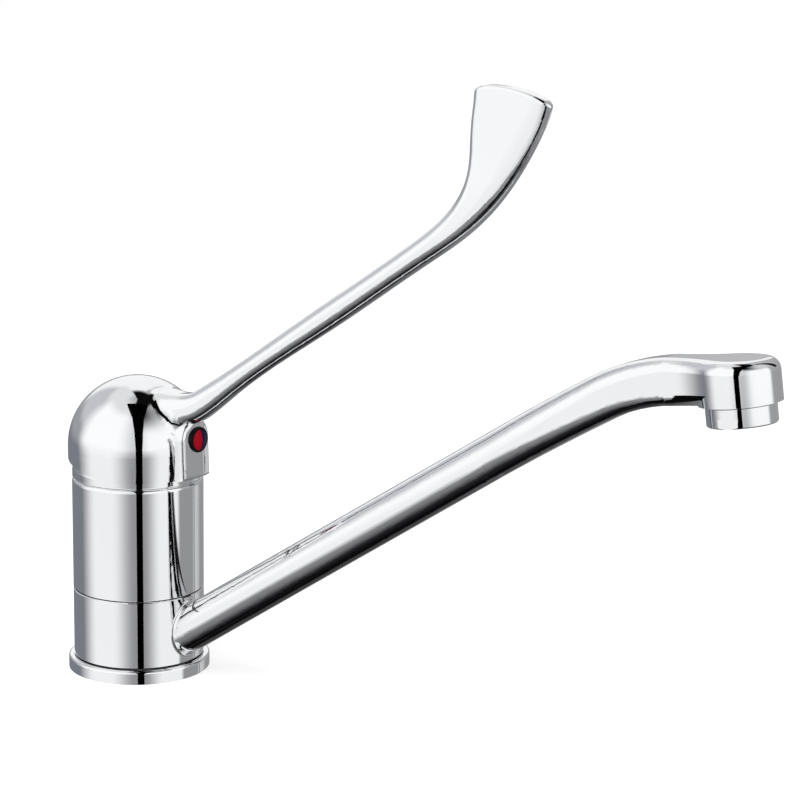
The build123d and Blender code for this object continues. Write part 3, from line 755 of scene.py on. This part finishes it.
class Tent(Nodes):
    """World that lights the tap evenly, is white to the camera, and shows the chrome tones and cards."""

    def __init__(self, studio):
        world = bpy.data.worlds.new("pale_tent")
        bpy.context.scene.world = world
        world.use_nodes = True
        super().__init__(world.node_tree)
        self.tree.nodes.clear()
        self.studio = studio
        self.direction = self.add("ShaderNodeTexCoord").outputs["Generated"]

    def along(self, axis):
        """How far the direction goes along an axis."""
        node = self.add("ShaderNodeVectorMath", operation="DOT_PRODUCT")
        self.fill(node.inputs[0], self.direction)
        self.fill(node.inputs[1], axis)
        return node.outputs["Value"]

    def edge(self, value, limit, width, ends):
        """Goes softly from one end to the other where a value passes a limit."""
        return self.remap(value, limit - width / 2, limit + width / 2, *ends, "SMOOTHSTEP")

    def span(self, value, first, last):
        return self.math("MULTIPLY", self.edge(value, *first, (0, 1)), self.edge(value, *last, (1, 0)))

    def tones(self, height):
        lowest, highest = TENT_TONES[0][0], TENT_TONES[-1][0]
        ramp = self.add("ShaderNodeValToRGB")
        elements = ramp.color_ramp.elements
        while len(elements) < len(TENT_TONES):
            elements.new(0.5)
        for element, (level, tone) in zip(elements, TENT_TONES):
            element.position = (level - lowest) / (highest - lowest)
            element.color = scene_colour((tone, tone, tone + TENT_LEAN))
        self.fill(ramp.inputs["Fac"], self.remap(height, lowest, highest, 0, 1))
        return ramp.outputs["Color"]

    def hang(self, behind, turn, height, card):
        """Colour with a card in front of what is behind it."""
        tone, left, right, low, high = card
        middle = (left[0] + right[0]) / 2
        near = self.math("WRAP", turn, middle + 180, middle - 180)
        share = self.math("MULTIPLY", self.span(near, left, right), self.span(height, low, high))
        return self.blend(share, behind, scene_colour(tone if isinstance(tone, tuple) else (tone,) * 3))

    def background(self, colour, strength):
        node = self.add("ShaderNodeBackground")
        self.fill(node.inputs["Color"], colour)
        node.inputs["Strength"].default_value = strength
        return node.outputs[0]

    def build(self):
        back, side = camera_sides(self.studio)
        turn = self.math("DEGREES", self.math("ARCTAN2", self.along(side), self.along(back)))
        height = self.math("DEGREES", self.math("ARCSINE", self.along((0, 0, 1))))
        colour = self.tones(height)
        for card in TENT_CARDS.values():
            colour = self.hang(colour, turn, height, card)
        path = self.add("ShaderNodeLightPath")
        mirror = self.math("MAXIMUM", path.outputs["Is Glossy Ray"], path.outputs["Is Transmission Ray"])
        even = self.background(WHITE, self.studio.fill)
        lit = self.choose(mirror, even, self.background(colour, self.studio.white))
        seen = self.choose(path.outputs["Is Camera Ray"], lit, self.background(WHITE, 1))
        self.fill(self.add("ShaderNodeOutputWorld").inputs["Surface"], seen)


def new_sheet(name, points, material):
    """Sheet of quads between successive pairs of points."""
    mesh = bpy.data.meshes.new(name)
    mesh.from_pydata(points, [], [(k, k + 1, k + 3, k + 2) for k in range(0, len(points) - 2, 2)])
    mesh.materials.append(material)
    return new_object(name, mesh)


# Heights along the slit and half its width there, in metres
SLIT_SHAPE = ((-0.5, 0.057), (0.12, 0.057), (0.45, 0.085), (0.9, 0.16), (1.8, 0.42), (4.0, 1.0))


def slit_material():
    material = bpy.data.materials.new("dark_slit")
    material.use_nodes = True
    shader = material.node_tree.nodes["Principled BSDF"]
    shader.inputs["Base Color"].default_value = (0, 0, 0, 1)
    shader.inputs["Specular IOR Level"].default_value = 0
    return material


def add_slit(studio):
    """Dark slit in the tent beside the camera, wider towards the top and seen by the chrome alone."""
    back, side = camera_sides(studio)
    foot = back * studio.slit_distance + side * studio.slit_offset
    middles = [(foot + Vector((0, 0, level)), side * reach) for level, reach in SLIT_SHAPE]
    points = [end for middle, arm in middles for end in (middle - arm, middle + arm)]
    slit = new_sheet("slit", points, slit_material())
    slit.visible_camera = False
    slit.visible_diffuse = False
    slit.visible_transmission = False
    slit.visible_shadow = False


def floor_material(studio):
    """Pale floor that keeps the shadow. The chrome's reflections and a view from below go through it."""
    material = bpy.data.materials.new("pale_floor")
    material.use_nodes = True
    nodes = Nodes(material.node_tree)
    nodes.tree.nodes.clear()
    matt = nodes.add("ShaderNodeBsdfDiffuse")
    matt.inputs["Color"].default_value = (*(studio.floor_tone,) * 3, 1)
    glow = nodes.add("ShaderNodeEmission")
    glow.inputs["Color"].default_value = WHITE
    glow.inputs["Strength"].default_value = studio.floor_glow
    lit = nodes.add("ShaderNodeAddShader")
    nodes.fill(lit.inputs[0], matt.outputs[0])
    nodes.fill(lit.inputs[1], glow.outputs[0])
    path = nodes.add("ShaderNodeLightPath")
    seen = nodes.choose(path.outputs["Is Camera Ray"], matt.outputs[0], lit.outputs[0])
    underside = nodes.add("ShaderNodeNewGeometry").outputs["Backfacing"]
    through = nodes.math("MAXIMUM", path.outputs["Is Glossy Ray"], underside)
    surface = nodes.choose(through, seen, nodes.add("ShaderNodeBsdfTransparent").outputs[0])
    nodes.fill(nodes.add("ShaderNodeOutputMaterial").inputs["Surface"], surface)
    return material


def add_floor(studio):
    half = studio.floor
    low = cad_box[0][2]
    points = [(x, y, low) for y in (-half, half) for x in (-half, half)]
    floor = new_sheet("floor", points, floor_material(studio))


def add_key(studio):
    """Soft lamp that the chrome doesn't show."""
    lamp = bpy.data.lights.new("soft_key", "AREA")
    lamp.shape = "RECTANGLE"
    lamp.size = studio.key_width
    lamp.size_y = studio.key_height
    lamp.energy = studio.key_power
    key = new_object("soft_key", lamp)
    key.location = studio.key_place
    key.rotation_euler = (studio.key_aim - studio.key_place).to_track_quat("-Z", "Y").to_euler()
    key.visible_glossy = False


def add_camera(studio):
    """Camera that sees the tap as the photograph does."""
    view = bpy.data.cameras.new("photo_view")
    view.lens = studio.lens
    view.sensor_width = studio.film
    view.clip_start = studio.nearest
    camera = new_object("photo_view", view)
    turn = Matrix.Rotation(studio.heading, 4, "Z") @ Matrix.Rotation(math.pi / 2 - studio.dip, 4, "X")
    roll = Matrix.Rotation(studio.roll, 4, "Z")
    camera.matrix_world = Matrix.Translation(studio.camera_place) @ turn @ roll
    bpy.context.scene.camera = camera


class TAP_OT_set_stage(Operator):
    """Set the floor, the studio's light and the camera"""

    bl_idname = "tap.set_stage"
    bl_label = "Set the stage"

    def execute(self, context):
        studio = context.scene.tap_studio
        add_floor(studio)
        Tent(studio).build()
        add_slit(studio)
        add_key(studio)
        add_camera(studio)
        context.scene.view_settings.view_transform = "Standard"
        return {"FINISHED"}


# Settings of the scene, each with the operator that uses them
GROUPS = {
    "tap_chrome": (ChromeFinish, "tap.plate_castings"),
    "tap_inner": (InnerFinish, "tap.finish_cartridge"),
    "tap_mark": (MarkFinish, "tap.finish_indicator"),
    "tap_regulator": (RegulatorSizes, "tap.build_regulator"),
    "tap_thread": (ThreadSizes, "tap.cut_threads"),
    "tap_studio": (StudioSizes, "tap.set_stage"),
}


class TAP_PT_panel(Panel):
    """The tap's operators and settings"""

    bl_idname = "TAP_PT_panel"
    bl_label = "Elbow lever tap"
    bl_space_type = "VIEW_3D"
    bl_region_type = "UI"
    bl_category = "Tap"

    def draw(self, context):
        for name, (group, operator) in GROUPS.items():
            box = self.layout.box()
            for key in group.__annotations__:
                box.prop(getattr(context.scene, name), key)
            box.operator(operator)


CLASSES = (
    *(group for group, operator in GROUPS.values()),
    TAP_OT_plate_castings,
    TAP_OT_finish_cartridge,
    TAP_OT_finish_indicator,
    TAP_OT_build_regulator,
    TAP_OT_cut_threads,
    TAP_OT_set_stage,
    TAP_PT_panel,
)


def register():
    for cls in CLASSES:
        bpy.utils.register_class(cls)
    for name, (group, operator) in GROUPS.items():
        setattr(bpy.types.Scene, name, PointerProperty(type=group))


def unregister():
    for name in GROUPS:
        delattr(bpy.types.Scene, name)
    for cls in reversed(CLASSES):
        bpy.utils.unregister_class(cls)


def main():
    register()
    bpy.ops.tap.plate_castings()
    bpy.ops.tap.finish_cartridge()
    bpy.ops.tap.finish_indicator()
    bpy.ops.tap.build_regulator()
    bpy.ops.tap.cut_threads()
    bpy.ops.tap.set_stage()


if __name__ == "__main__":
    main()
